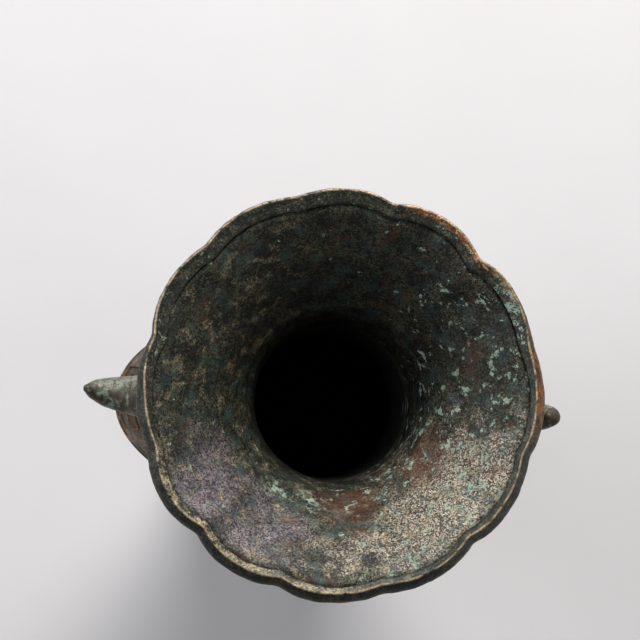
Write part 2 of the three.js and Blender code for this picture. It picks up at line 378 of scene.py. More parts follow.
@dataclass(frozen=True)
class Sizes:
    """The vase's driving sizes in millimetres, as its frame has them."""

    height: float = 330
    wall: float = 3
    neck_radius: float = 31.5
    neck_foot: float = 222
    seam: float = 0.35
    flare_start: float = 262
    flare_power: float = 2.6
    flare_radius: float = 66.1
    flare_top: float = 325.8
    fade_start: float = 7
    fade_length: float = 36
    fade_power: float = 1.6
    belly_foot: float = 64
    spigot: float = 10
    plate_top: float = 53
    plate_thickness: float = 3
    stem: tuple[float, float] = (36, 26.6)
    stem_wall: float = 2.6
    spigot_radius: float = 30
    spigot_bore: float = 27.6
    foot_half: tuple[float, float] = (55, 43)
    foot_rim: float = 6

    def flare(self, z: np.ndarray) -> np.ndarray:
        """The trumpet's outer radius: it grows with a power of the height above its start."""
        share = np.clip((z - self.flare_start) / (self.flare_top - self.flare_start), 0, None)
        return self.neck_radius + (self.flare_radius - self.neck_radius) * share**self.flare_power

    def lobing(self, z: np.ndarray) -> np.ndarray:
        """How strongly the lobes show: fully near the rim, fading out down the trumpet."""
        left = np.clip(1 - (self.height - self.fade_start - z) / self.fade_length, 0, 1)
        return left**self.fade_power


SIZES = Sizes()
RIM = LobedRim()


def once_round(count: int) -> np.ndarray:
    """Gives evenly spaced angles, once round."""
    return np.arange(count) * (2 * np.pi / count)


def turned(profile: np.ndarray, angles: np.ndarray, inset: np.ndarray) -> np.ndarray:
    """Turns a profile about the Z axis, with a lobed inset taken from its radius.

    Args:
        profile: Radius, height and share of the inset for each point, of shape (rows, 3).
        angles: The angles of the turned columns.
        inset: The full inset at each angle.

    Returns:
        The rings, of shape (rows, columns, 3).
    """
    radius, height, share = profile.T
    r = radius[:, None] - share[:, None] * inset[None, :]
    z = np.broadcast_to(height[:, None], r.shape)
    return np.stack([r * np.cos(angles), r * np.sin(angles), z], axis=-1)


def oval_rings(line: np.ndarray, angles: np.ndarray, inset: Optional[np.ndarray] = None) -> np.ndarray:
    """Carries an oval up a line of half-width, half-depth and height.

    Args:
        line: Half-width, half-depth, height and, where there is an inset, its share, of shape (rows, 3 or 4).
        angles: The angles of the columns.
        inset: The full lobed inset at each angle, or none.

    Returns:
        The rings, of shape (rows, columns, 3).
    """
    cut = 0 if inset is None else line[:, 3:4] * inset[None, :]
    x = (line[:, 0:1] - cut) * np.cos(angles)
    y = (line[:, 1:2] - cut) * np.sin(angles)
    return np.stack([x, y, np.broadcast_to(line[:, 2:3], x.shape)], axis=-1)


def limb_rings(path: np.ndarray, radii: np.ndarray, sides: int) -> np.ndarray:
    """Carries a circle along a path, square to it.

    Args:
        path: The points of the path, of shape (rows, 3).
        radii: The circle's radius at each.
        sides: How many points each ring has.

    Returns:
        The rings, of shape (rows, sides, 3).
    """
    along = np.gradient(path, axis=0)
    along /= np.linalg.norm(along, axis=1, keepdims=True)
    side = np.array([0.0, 1.0, 0.0]) - along * along[:, 1:2]
    side /= np.linalg.norm(side, axis=1, keepdims=True)
    up = np.cross(along, side)
    turn = once_round(sides)[None, :, None]
    reach = radii[:, None, None]
    return path[:, None] + reach * (side[:, None] * np.cos(turn) + up[:, None] * np.sin(turn))


def cross_rings(line: Sequence[tuple[float, float]], half: tuple[float, float], level: float,
                sides: int) -> np.ndarray:
    """Carries an oval out along X.

    Args:
        line: How far out each ring is, and its size as a share of the oval.
        half: The oval's half-axes along Y and Z.
        level: The height of its middle.
        sides: How many points each ring has.

    Returns:
        The rings, of shape (rows, sides, 3).
    """
    turn = once_round(sides)
    rings = []
    for x, size in line:
        y = half[0] * size * np.cos(turn)
        z = level + half[1] * size * np.sin(turn)
        rings.append(np.stack([np.full(sides, x), y, z], axis=-1))
    return np.stack(rings)


def round_ended(path: np.ndarray, radii: np.ndarray, steps: int = 8) -> tuple[np.ndarray, np.ndarray]:
    """Adds a half ball to a limb's far end, by rings whose radius falls as a cosine.

    Args:
        path: The limb's path.
        radii: Its radii.
        steps: How many rings the half ball has.

    Returns:
        The longer path and its radii.
    """
    along = path[-1] - path[-2]
    along /= np.linalg.norm(along)
    turn = np.linspace(0, np.pi / 2, steps + 1)[1:]
    more = path[-1] + along * (radii[-1] * np.sin(turn))[:, None]
    return np.concatenate([path, more]), np.concatenate([radii, radii[-1] * np.maximum(np.cos(turn), 0.02)])


def ball(centre: Sequence[float], radii: Sequence[float], rows: int = 24, pole: float = 0.02) -> Shell:
    """Makes a ball stretched to three half-axes.

    Args:
        centre: Its middle.
        radii: Its half-axes.
        rows: How many rings it has from pole to pole.
        pole: How far from each pole, in radians, the first ring lies.

    Returns:
        The closed surface.
    """
    polar = np.linspace(pole, np.pi - pole, rows)[:, None]
    turn = once_round(rows * 2)[None, :]
    x = np.sin(polar) * np.cos(turn)
    y = np.sin(polar) * np.sin(turn)
    z = np.cos(polar) + 0 * turn
    return Shell.limb(np.stack([x, y, z], axis=-1) * np.asarray(radii) + np.asarray(centre))


# Relief lines

OnSurface = Callable[[np.ndarray, np.ndarray], np.ndarray]


@dataclass(frozen=True)
class Ribbon:
    """A raised line cast on a surface.

    It has a width at its foot and its top, a height, and a depth that it is rooted in the surface.
    """

    width: float = 1.15
    top: float = 0.55
    height: float = 0.5
    root: float = 0.4

    def along(self, lines: Sequence[np.ndarray], surface: OnSurface) -> Shell:
        """Carries the ribbon's section along lines drawn on a surface.

        Args:
            lines: Each is an array of surface parameters, of shape (points, 2).
            surface: Gives the point in millimetres at two parameters.

        Returns:
            All the ribbons as one shell.
        """
        return joined([self._one(line, surface) for line in lines])

    def _one(self, line: np.ndarray, surface: OnSurface, step: float = 0.05) -> Shell:
        """Carries the section along one line, square to it and to the surface.

        Args:
            line: Surface parameters, of shape (points, 2).
            surface: Gives the point in millimetres at two parameters.
            step: How far to either side the surface's slope is measured.

        Returns:
            The closed ribbon.
        """
        u, v = line.T
        here = surface(u, v)
        du = surface(u + step, v) - surface(u - step, v)
        dv = surface(u, v + step) - surface(u, v - step)
        normal = np.cross(du, dv)
        normal /= np.linalg.norm(normal, axis=1, keepdims=True)
        along = np.gradient(here, axis=0)
        across = np.cross(normal, along)
        across /= np.linalg.norm(across, axis=1, keepdims=True)
        section = [
            (-self.width / 2, -self.root), (-self.width / 2, 0), (-self.top / 2, self.height),
            (self.top / 2, self.height), (self.width / 2, 0), (self.width / 2, -self.root),
        ]
        rings = np.stack([here + across * x + normal * h for x, h in section], axis=1)
        return Shell.limb(rings)


def densely(corners: Sequence[Sequence[float]], pitch: float) -> np.ndarray:
    """Puts points along a line of straight stretches, no further apart than a pitch.

    Args:
        corners: The line's corners.
        pitch: The widest gap between points.

    Returns:
        The points, of shape (count, 2).
    """
    c = np.asarray(corners, float)
    out = [c[:1]]
    for start, end in zip(c[:-1], c[1:]):
        count = max(1, math.ceil(float(np.linalg.norm(end - start)) / pitch))
        out.append(start + (end - start) * (np.arange(1, count + 1) / count)[:, None])
    return np.concatenate(out)


# Finishes


class Graph:
    """A material's nodes, with a short call for each kind that the finishes use.

    A spot is 1 up to the share spot_full of its reach and 0 from the share spot_gone on. Noise times
    spot_frayed of the reach is added to the distance first.
    """

    spot_frayed = 0.5
    spot_full = 0.55
    spot_gone = 1.35

    def __init__(self, name: str) -> None:
        """Starts a material with nothing in it but its output and Object coordinates.

        Args:
            name: The material's name.
        """
        self.material = bpy.data.materials.new(name)
        self.material.use_nodes = True
        self.tree = self.material.node_tree
        self.tree.nodes.clear()
        self.output = self.tree.nodes.new("ShaderNodeOutputMaterial")
        self.place = self.tree.nodes.new("ShaderNodeTexCoord").outputs["Object"]

    def feed(self, socket: Socket, value: object) -> None:
        """Links a socket to another, or sets its number or colour.

        Args:
            socket: The input socket.
            value: An output socket, a number, or a colour of three numbers.
        """
        if isinstance(value, bpy.types.NodeSocket):
            self.tree.links.new(value, socket)
        elif isinstance(value, tuple) and len(value) == 3 and socket.type == "RGBA":
            socket.default_value = (*value, 1.0)
        else:
            socket.default_value = value

    def noise(self, size: float, detail: float, roughness: float = 0.6, bend: float = 0) -> Socket:
        """Cloudy noise between 0 and 1.

        Args:
            size: How far across its clouds are, in millimetres.
            detail: How many finer layers it has.
            roughness: How strong the finer layers are.
            bend: How much the clouds are drawn out of shape.

        Returns:
            The noise.
        """
        node = self.tree.nodes.new("ShaderNodeTexNoise")
        self.feed(node.inputs["Vector"], self.place)
        node.inputs["Scale"].default_value = 1 / (size * MM)
        node.inputs["Detail"].default_value = detail
        node.inputs["Roughness"].default_value = roughness
        node.inputs["Distortion"].default_value = bend
        return node.outputs["Fac"]

    def grains(self, size: float) -> Socket:
        """A number between 0 and 1 that is steady inside each grain.

        Args:
            size: How far across the grains are, in millimetres.

        Returns:
            The number.
        """
        node = self.tree.nodes.new("ShaderNodeTexVoronoi")
        self.feed(node.inputs["Vector"], self.place)
        node.inputs["Scale"].default_value = 1 / (size * MM)
        split = self.tree.nodes.new("ShaderNodeSeparateColor")
        self.tree.links.new(node.outputs["Color"], split.inputs[0])
        return split.outputs[0]

    def salted(self, fine: Socket) -> Socket:
        """Mixes sharp grains, fine noise and coarser noise, as the corroded surface has them."""
        return self.plus(self.times(self.grains(0.45), 0.4), self.times(fine, 0.35),
                         self.times(self.noise(1.6, 4, 0.7), 0.25))

    def mark(self, name: str) -> Socket:
        """A number kept on the mesh's points."""
        node = self.tree.nodes.new("ShaderNodeAttribute")
        node.attribute_name = name
        return node.outputs["Fac"]

    def span(self, value: Value, low: float, high: float, start: float = 0, end: float = 1) -> Socket:
        """Maps one range to another smoothly, and holds the ends outside it.

        Args:
            value: What is mapped.
            low: Where the range starts, which may be its higher end.
            high: Where it ends.
            start: What low becomes.
            end: What high becomes.

        Returns:
            The mapped value.
        """
        node = self.tree.nodes.new("ShaderNodeMapRange")
        node.interpolation_type = "SMOOTHSTEP"
        self.feed(node.inputs["Value"], value)
        for name, number in (("From Min", low), ("From Max", high), ("To Min", start), ("To Max", end)):
            node.inputs[name].default_value = number
        return node.outputs["Result"]

    def maths(self, operation: str, a: Value, b: Value) -> Socket:
        """One step of arithmetic.

        Args:
            operation: Its name in the node.
            a: The first value.
            b: The second value.

        Returns:
            The result.
        """
        node = self.tree.nodes.new("ShaderNodeMath")
        node.operation = operation
        self.feed(node.inputs[0], a)
        self.feed(node.inputs[1], b)
        return node.outputs[0]

    def fold(self, operation: str, values: Sequence[Value]) -> Value:
        """Carries one step of arithmetic through several values, from the first to the last."""
        return reduce(lambda total, value: self.maths(operation, total, value), values)

    def times(self, *values: Value) -> Value:
        """Multiplies several values."""
        return self.fold("MULTIPLY", values)

    def plus(self, *values: Value) -> Value:
        """Adds several values."""
        return self.fold("ADD", values)

    def most(self, *values: Value) -> Value:
        """Takes the largest of several values."""
        return self.fold("MAXIMUM", values)

    def over(self, below: object, above: object, share: Value) -> Socket:
        """Lays one colour over another.

        Args:
            below: The colour underneath.
            above: The colour on top.
            share: How much of the top colour shows.

        Returns:
            The mixed colour.
        """
        node = self.tree.nodes.new("ShaderNodeMix")
        node.data_type = "RGBA"
        self.feed(node.inputs[0], share)
        self.feed(node.inputs[6], below)
        self.feed(node.inputs[7], above)
        return node.outputs[2]

    def ramp(self, value: Value, *stops: tuple[float, Colour]) -> Socket:
        """Turns a value into a colour.

        Args:
            value: The value.
            stops: Values and the colours that they stand for, in rising order.

        Returns:
            The colour.
        """
        node = self.tree.nodes.new("ShaderNodeValToRGB")
        self.feed(node.inputs["Fac"], value)
        while len(node.color_ramp.elements) < len(stops):
            node.color_ramp.elements.new(0.5)
        for element, (position, colour) in zip(node.color_ramp.elements, stops):
            element.position = position
            element.color = (*colour, 1.0)
        return node.outputs["Color"]

    def axes(self) -> tuple[Socket, Socket, Socket]:
        """The place's X, Y and Z in metres."""
        node = self.tree.nodes.new("ShaderNodeSeparateXYZ")
        self.feed(node.inputs[0], self.place)
        return node.outputs[0], node.outputs[1], node.outputs[2]

    def near(self, *spots: Spot) -> Value:
        """Soft spots with frayed edges, 1 inside and 0 outside.

        Args:
            spots: Each is an X, Y and Z and a reach, in millimetres.

        Returns:
            The largest value of any spot.
        """
        found = []
        for x, y, z, reach in spots:
            node = self.tree.nodes.new("ShaderNodeVectorMath")
            node.operation = "DISTANCE"
            self.feed(node.inputs[0], self.place)
            node.inputs[1].default_value = (x * MM, y * MM, z * MM)
            fray = self.times(self.noise(14, 3), reach * MM * self.spot_frayed)
            away = self.plus(node.outputs["Value"], fray)
            found.append(self.span(away, reach * MM * self.spot_full, reach * MM * self.spot_gone, 1, 0))
        return self.most(*found)

    def bump(self, height: Value, depth: float, strength: float,
             under: Optional[Socket] = None) -> Socket:
        """Roughens a surface's shading.

        Args:
            height: The height, between 0 and 1.
            depth: How many millimetres a height of 1 is.
            strength: How much of the bump shows.
            under: A bump that this one lies on.

        Returns:
            The normal.
        """
        node = self.tree.nodes.new("ShaderNodeBump")
        node.inputs["Strength"].default_value = strength
        node.inputs["Distance"].default_value = depth * MM
        self.feed(node.inputs["Height"], height)
        if under is not None:
            self.feed(node.inputs["Normal"], under)
        return node.outputs["Normal"]

    def finish(self, colour: object, roughness: Value, metallic: Value, normal: object) -> bpy.types.Material:
        """Makes the surface shader.

        Args:
            colour: Its base colour.
            roughness: How matt it is.
            metallic: How much of it is bare metal.
            normal: Its bump.

        Returns:
            The finished material.
        """
        shader = self.tree.nodes.new("ShaderNodeBsdfPrincipled")
        self.feed(shader.inputs["Base Color"], colour)
        self.feed(shader.inputs["Roughness"], roughness)
        self.feed(shader.inputs["Metallic"], metallic)
        self.feed(shader.inputs["Normal"], normal)
        self.tree.links.new(shader.outputs["BSDF"], self.output.inputs["Surface"])
        return self.material


@dataclass(frozen=True)
class InsidePatina:
    """The old patina of the mouth and neck.

    A black-green ground shows in the upper half. The lower half is painted paler, as if lit: grains of tan
    and grey laid on by a painted light mask, more on the right, and a painted silver-violet sheen on the
    left.
    Red-brown stains, blue-green bloom and crusts of pale verdigris lie over both. The flare is painted darker
    as shade towards the throat, more on the left, and below the throat's edge all is painted near black as
    shade, on the neck's outside too, as it goes by height.
    Heights are in metres and spots in millimetres.
    """

    black: Colour = (0.0030, 0.0032, 0.0026)
    green_black: Colour = (0.0085, 0.0095, 0.0065)
    olive: Colour = (0.070, 0.069, 0.042)
    # Grain colours paler than the ground: besides the grains' own colour they paint the lower half as lit.
    lit_dust_dark: Colour = (0.036, 0.030, 0.023)
    lit_dust: Colour = (0.170, 0.146, 0.110)
    lit_dust_pale: Colour = (0.50, 0.43, 0.34)
    # The next two colours paint a silver-violet sheen on the lower left, standing in for a reflection of the
    # light.
    sheen_dark: Colour = (0.034, 0.027, 0.033)
    rub: Colour = (0.24, 0.205, 0.225)
    tan: Colour = (0.30, 0.24, 0.145)
    stain: Colour = (0.085, 0.026, 0.011)
    bloom: Colour = (0.040, 0.080, 0.074)
    verdigris: Colour = (0.30, 0.40, 0.31)
    # Painted shade: the near black of the throat and the neck.
    shade_black: Colour = (0.0012, 0.0012, 0.0010)
    # The first spots are where the painted sheen lies.
    sheen_spots: tuple[Spot, ...] = ((-43, -33, 318, 25), (-24, -44, 318, 22))
    stains: tuple[Spot, ...] = ((6, -37, 301, 15), (33, -20, 300, 15))
    crusts: tuple[Spot, ...] = ((-8, -38, 300, 9), (-20, -34, 301, 8), (6, -39, 301, 5))
    # Heights below which the throat is painted near black as shade.
    shade_black_from: tuple[float, float] = (0.2565, 0.2540)
    shoulder_from: tuple[float, float] = (0.270, 0.259)
    # Heights over which the flare is painted darker as shade towards the throat.
    deep_shade_from: tuple[float, float] = (0.298, 0.268)
    # Heights over which the grains laid by the painted light thicken towards the rim.
    lit_dust_from: tuple[float, float] = (0.292, 0.312)

    def make(self) -> bpy.types.Material:
        """Builds the material.

        Returns:
            The material.
        """
        g = Graph("inside_patina")
        x, y, z = g.axes()
        fine = g.noise(0.5, 3, 0.75)
        grain = g.salted(fine)
        salt = g.span(grain, 0.36, 0.64)
        ground = g.ramp(g.plus(g.times(g.noise(8, 7, 0.7), 0.5), g.times(grain, 0.5)),
                        (0.40, self.black), (0.5, self.green_black), (0.61, self.olive))
        # Painted light: bottom, right and lit mark where the lower and right parts are painted paler, as if
        # lit.
        bottom = g.span(y, 0.016, -0.034)
        right = g.span(x, -0.012, 0.046)
        left = g.span(x, 0.004, -0.030)
        lit = g.plus(g.times(bottom, 0.36), g.times(right, bottom, 0.66), g.times(right, 0.16))
        cloud = g.span(g.noise(12, 6, 0.66, 0.3), 0.34, 0.66)
        # Powdery grains laid on by the painted light mask: partly the grains' colour, partly painted light.
        dust_and_painted_light = g.span(g.plus(g.times(lit, 0.75), g.times(cloud, 0.50)), 0.46, 1.12)
        high = g.span(z, *self.lit_dust_from)
        lit_dust = g.ramp(grain, (0.32, self.lit_dust_dark), (0.50, self.lit_dust), (0.68, self.lit_dust_pale))
        lit_dusted = g.times(dust_and_painted_light, g.span(high, 0, 1, 0.35, 1), g.span(salt, 0, 1, 0.4, 1.0))
        colour = g.over(ground, lit_dust, lit_dusted)
        # Painted sheen: silver-violet laid at two spots on the lower left, standing in for a reflection.
        rubbed = g.times(g.near(*self.sheen_spots), g.span(cloud, 0, 1, 0.45, 1))
        silver = g.ramp(grain, (0.36, self.sheen_dark), (0.66, self.rub))
        colour = g.over(colour, silver, g.times(rubbed, 0.85))
        tan = g.times(g.span(g.noise(5.5, 6, 0.72), 0.52, 0.64), g.span(salt, 0, 1, 0.2, 0.9),
                      g.span(g.most(bottom, g.times(left, 0.7)), 0, 1, 0.10, 0.9))
        colour = g.over(colour, self.tan, tan)
        red = g.span(g.noise(10, 5, 0.7, 0.4), 0.575, 0.66)
        stain = g.times(g.most(g.times(red, 0.8), g.near(*self.stains)), g.span(fine, 0.36, 0.6, 0.25, 1))
        colour = g.over(colour, self.stain, g.times(stain, 0.85))
        bloom = g.times(g.span(g.noise(7, 6, 0.7, 0.2), 0.50, 0.64), g.span(fine, 0.35, 0.6, 0.2, 0.9))
        colour = g.over(colour, self.bloom, g.times(bloom, 0.7))
        # Painted shade: black laid over the flare towards the throat, more on the left.
        deep_shade = g.times(g.span(z, *self.deep_shade_from), g.span(x, 0.030, -0.020, 0.4, 0.93))
        colour = g.over(colour, self.black, deep_shade)
        where = g.span(g.plus(g.times(right, 0.7), g.times(bottom, 0.35)), 0.1, 0.9, 0.0, 1)
        blobs = g.span(g.plus(g.noise(4.2, 5, 0.72), g.times(where, 0.085)), 0.645, 0.695)
        crust = g.times(g.near(*self.crusts), g.span(g.noise(2.6, 4, 0.7), 0.5, 0.6))
        green = g.times(g.most(blobs, crust), g.span(fine, 0.30, 0.52, 0.35, 1))
        colour = g.over(colour, self.verdigris, g.times(green, 0.92))
        shoulder = g.times(g.span(z, *self.shoulder_from), g.span(grain, 0.36, 0.6, 0.3, 0.7),
                           g.span(x, -0.030, 0.020, 0.1, 1))
        colour = g.over(colour, self.olive, shoulder)
        # Painted shade: below the throat's edge the colour goes near black, on the neck's outside too.
        throat = g.span(z, *self.shade_black_from)
        colour = g.over(colour, self.shade_black, throat)
        roughness = g.plus(g.span(g.noise(5, 5), 0.3, 0.7, 0.44, 0.66), g.times(throat, 0.3))
        crusted = g.most(green, g.times(dust_and_painted_light, 0.6), throat)
        metallic = g.span(g.maths("SUBTRACT", 1.0, crusted), 0, 1, 0.0, 0.4)
        coarse = g.bump(g.noise(3.4, 6, 0.7), 0.8, 0.7)
        rough = g.bump(grain, 0.2, 0.8, coarse)
        crusts = g.bump(green, 0.22, 0.8, rough)
        return g.finish(colour, roughness, metallic, crusts)


@dataclass(frozen=True)
class RimBronze:
    """The rim band's finish.

    It has a black-green bevel, a pale crest line, tan on the lower left and bare orange bronze with pale
    streaks on the upper right and the right. Each of these crest marks is partly wear and partly a painted
    highlight. The mark "across" is the distance in from the crest in millimetres, negative on the bevel.
    """

    dark: Colour = (0.005, 0.0055, 0.0045)
    face: Colour = (0.016, 0.018, 0.013)
    olive: Colour = (0.085, 0.082, 0.052)
    # The next two colours mark the crest: bare bronze and pale rubbed bronze, each partly wear and partly a
    # painted highlight.
    bare: Colour = (0.36, 0.145, 0.045)
    rubbed: Colour = (0.60, 0.46, 0.30)
    tan: Colour = (0.34, 0.28, 0.18)
    verdigris: Colour = (0.24, 0.34, 0.27)
    # The first four spot lists place the tan on the lower left and the orange on the upper right and the
    # right, partly wear and partly a painted highlight.
    wear_and_highlight: tuple[Spot, ...] = ((-58, -32, 327, 17), (-47, -48, 327, 17), (-30, -60, 327, 17))
    faint_wear_and_highlight: Spot = (-5, -68, 327, 22)
    highlight_and_wear_spots: tuple[Spot, ...] = ((30, 62, 328, 13), (41, 55, 328, 16), (51, 44, 328, 13))
    edge: Spot = (69, 10, 326, 24)
    green: Spot = (56, 32, 327, 26)

    def make(self) -> bpy.types.Material:
        """Builds the material.

        Returns:
            The material.
        """
        g = Graph("rim_bronze")
        across = g.mark("across")
        grain = g.salted(g.noise(0.5, 3, 0.75))
        salt = g.span(grain, 0.36, 0.62)
        mottle = g.plus(g.times(g.noise(4, 6, 0.7), 0.5), g.times(grain, 0.5))
        colour = g.ramp(mottle, (0.40, self.dark), (0.51, self.face), (0.63, self.olive))
        inner = g.span(across, 0.2, 0.9)
        # Tan on the lower left of the crest: partly wear, partly a painted highlight.
        wear_and_highlight = g.times(g.most(g.near(*self.wear_and_highlight), g.times(g.near(self.faint_wear_and_highlight), 0.7)),
                       g.span(across, -0.7, 0.4), g.span(g.noise(3, 5, 0.7), 0.40, 0.58),
                       g.span(salt, 0, 1, 0.2, 1))
        colour = g.over(colour, self.tan, wear_and_highlight)
        # Orange and pale on the upper right and the right of the crest: bare bronze colour, partly wear and
        # partly a painted highlight.
        highlight_and_wear_spots = g.near(*self.highlight_and_wear_spots)
        edge = g.times(g.near(self.edge), g.span(across, 0.4, -0.6))
        reach = g.maths("SUBTRACT", 3.6, g.times(g.noise(2.2, 5, 0.75), 3.2))
        strip = g.span(g.maths("SUBTRACT", reach, across), -0.3, 0.5)
        bare = g.times(g.most(highlight_and_wear_spots, edge), strip, g.span(g.noise(2.6, 5, 0.72), 0.40, 0.54),
                       g.span(salt, 0, 1, 0.3, 1))
        colour = g.over(colour, self.bare, bare)
        pale = g.times(highlight_and_wear_spots, strip, g.span(g.noise(1.7, 5, 0.72), 0.54, 0.62))
        colour = g.over(colour, self.rubbed, g.times(pale, 0.9))
        # A pale line along the crest: partly rubbed wear, partly a painted highlight.
        line = g.times(g.span(across, -0.55, -0.05), g.span(across, 0.55, 0.1))
        line = g.times(line, g.span(g.noise(6, 6, 0.72), 0.37, 0.55), g.span(salt, 0, 1, 0.55, 1))
        colour = g.over(colour, self.rubbed, g.times(line, 0.9))
        green = g.plus(g.noise(3.6, 5, 0.72), g.times(g.near(self.green), 0.10))
        green = g.times(g.span(green, 0.61, 0.66), g.span(grain, 0.35, 0.55))
        colour = g.over(colour, self.verdigris, g.times(green, inner, 0.9))
        metallic = g.span(g.most(line, bare), 0, 1, 0.25, 0.8)
        roughness = g.span(g.noise(3, 5), 0.3, 0.7, 0.36, 0.6)
        normal = g.bump(grain, 0.14, 0.7, g.bump(g.noise(3.4, 5, 0.7), 0.5, 0.6))
        return g.finish(colour, roughness, metallic, normal)


@dataclass(frozen=True)
class OutsideBronze:
    """The outside's brown patina, with golden bronze where it is rubbed and green in the hollows.

    The gilded and the crusted places are each an X, Y and Z in millimetres and a reach.
    """

    name: str = "outside_bronze"
    dark: Colour = (0.018, 0.012, 0.007)
    brown: Colour = (0.075, 0.043, 0.021)
    gold: Colour = (0.46, 0.23, 0.07)
    verdigris: Colour = (0.16, 0.24, 0.18)
    crust: Colour = (0.17, 0.20, 0.155)
    rubbed_from: float = 0.56
    green_from: float = 0.60
    gilded: tuple[Spot, ...] = ()
    crusted: tuple[Spot, ...] = ()

    def make(self) -> bpy.types.Material:
        """Builds the material.

        Returns:
            The material.
        """
        g = Graph(self.name)
        colour = g.ramp(g.noise(12, 7, 0.66), (0.33, self.dark), (0.66, self.brown))
        rub = g.span(g.noise(9, 6, 0.7), self.rubbed_from, self.rubbed_from + 0.12)
        for place in self.gilded:
            rub = g.most(rub, g.times(g.near(place), g.span(g.noise(3, 5, 0.7), 0.40, 0.56)))
        rub = g.times(rub, g.span(g.noise(0.9, 3, 0.7), 0.34, 0.6, 0.3, 1))
        colour = g.over(colour, self.gold, g.times(rub, 0.8))
        green = g.times(g.span(g.noise(7, 6, 0.72), self.green_from, self.green_from + 0.08),
                        g.span(g.noise(0.9, 3, 0.7), 0.36, 0.58, 0.3, 1))
        colour = g.over(colour, self.verdigris, green)
        # Crusted places: pale verdigris crust; on the lugs they lie on the trunk's upper edge and also paint
        # a highlight there.
        for place in self.crusted:
            crust = g.times(g.near(place), g.span(g.noise(1.8, 5, 0.75), 0.42, 0.54))
            share = g.times(crust, g.span(g.noise(0.6, 3, 0.7), 0.36, 0.56, 0.3, 1))
            colour = g.over(colour, self.crust, share)
            green = g.most(green, crust)
        metallic = g.span(g.maths("SUBTRACT", g.maths("ADD", 0.55, rub), green), 0, 1.2, 0.1, 0.9)
        roughness = g.span(g.noise(4, 5), 0.3, 0.7, 0.34, 0.58)
        normal = g.bump(g.noise(0.8, 5, 0.75), 0.22, 0.7, g.bump(g.noise(3.4, 5, 0.7), 0.5, 0.55))
        return g.finish(colour, roughness, metallic, normal)


@dataclass(frozen=True)
class ShadeBlack:
    """Painted shade: the near-black inside of the belly, where no light and no hand reaches."""

    black: Colour = (0.0012, 0.0012, 0.0010)
    brown: Colour = (0.004, 0.003, 0.002)

    def make(self) -> bpy.types.Material:
        """Builds the material.

        Returns:
            The material.
        """
        g = Graph("shade_black_inside")
        colour = g.ramp(g.noise(9, 6, 0.7), (0.4, self.black), (0.7, self.brown))
        return g.finish(colour, 0.95, 0.0, g.bump(g.noise(2.4, 5, 0.7), 0.5, 0.6))


# Pieces


@dataclass
class Mouth:
    """The trumpet mouth and neck, cast in one."""

    columns: int = 480
    ridge_height: float = 0.5
    ridge_level: float = 293.5
    ridge_width: float = 1.6
    string_height: float = 1.1
    string_level: float = 279
    string_half: float = 1.1
    throat_drift: float = 1.3
    lip_top: float = 327.4

    def profile(self) -> np.ndarray:
        """Draws the closed wall: up the outside from the spigot, over the lip and down the bore.

        Returns:
            Radius, height and share of lobing for each point.
        """
        s = SIZES
        spigot = s.spigot_radius
        spigot_foot = s.neck_foot - s.spigot
        low = [(s.spigot_bore, spigot_foot), (spigot, spigot_foot), (spigot, s.neck_foot + s.seam)]
        moulding = smooth_line([
            (35.2, s.neck_foot + s.seam), (36.6, s.neck_foot + 1.8), (36.8, s.neck_foot + 3.5),
            (36.6, s.neck_foot + 5.2), (35.2, s.neck_foot + 6.6), (33.4, s.neck_foot + 7.4),
            (32.6, s.neck_foot + 10.5), (31.9, s.neck_foot + 18), (s.neck_radius, s.neck_foot + 30),
        ], 4)
        z = np.linspace(s.flare_start - 6, s.flare_top, 62)
        string = self.string_height * np.exp(-(((z - self.string_level) / self.string_half) ** 4))
        flare = np.stack([s.flare(z) + string, z], axis=1)
        slope = s.flare(z + 0.5) - s.flare(z - 0.5)
        across = 1 / np.hypot(1, slope)
        from_ridge = (z + s.wall * across * slope - self.ridge_level) / self.ridge_width
        depth = s.wall + self.ridge_height * np.exp(-(from_ridge**2))
        bore = np.stack([s.flare(z) - depth * across, z + depth * across * slope], axis=1)[::-1]
        bore = bore[bore[:, 1] < self.lip_top]
        lip = np.array([[65.4, 326.6], [64.6, self.lip_top - 0.2]])
        bore_knots = [(28.5, 254), (28.3, 244), (s.spigot_bore, 232), (s.spigot_bore, spigot_foot)]
        throat = smooth_line(bore_knots, 6)
        line = np.concatenate([low, moulding, flare, lip, bore, throat[:-1]])
        return np.column_stack([line, s.lobing(line[:, 1])])

    def build(self, finish: bpy.types.Material) -> bpy.types.Object:
        """Makes the mesh, with the casting's unevenness and the throat's slight lean.

        The lean moves each ring along X by the squared sine of its share of the height, from 0 to pi.

        Args:
            finish: Its material.

        Returns:
            The piece.
        """
        angles = once_round(self.columns)
        rings = turned(self.profile(), angles, RIM.inset(angles))
        share = np.clip((rings[..., 2] - SIZES.neck_foot) / (SIZES.height - SIZES.neck_foot), 0, 1)
        rings[..., 0] += self.throat_drift * np.sin(share * np.pi) ** 2
        shell = roughened(Shell.tyre(rings), (0.22, 24, 1), (0.10, 8, 2), (0.05, 3.2, 3))
        return dressed("trumpet_mouth_and_neck", shell, finish, "bronze_inside", "mouth_and_neck")


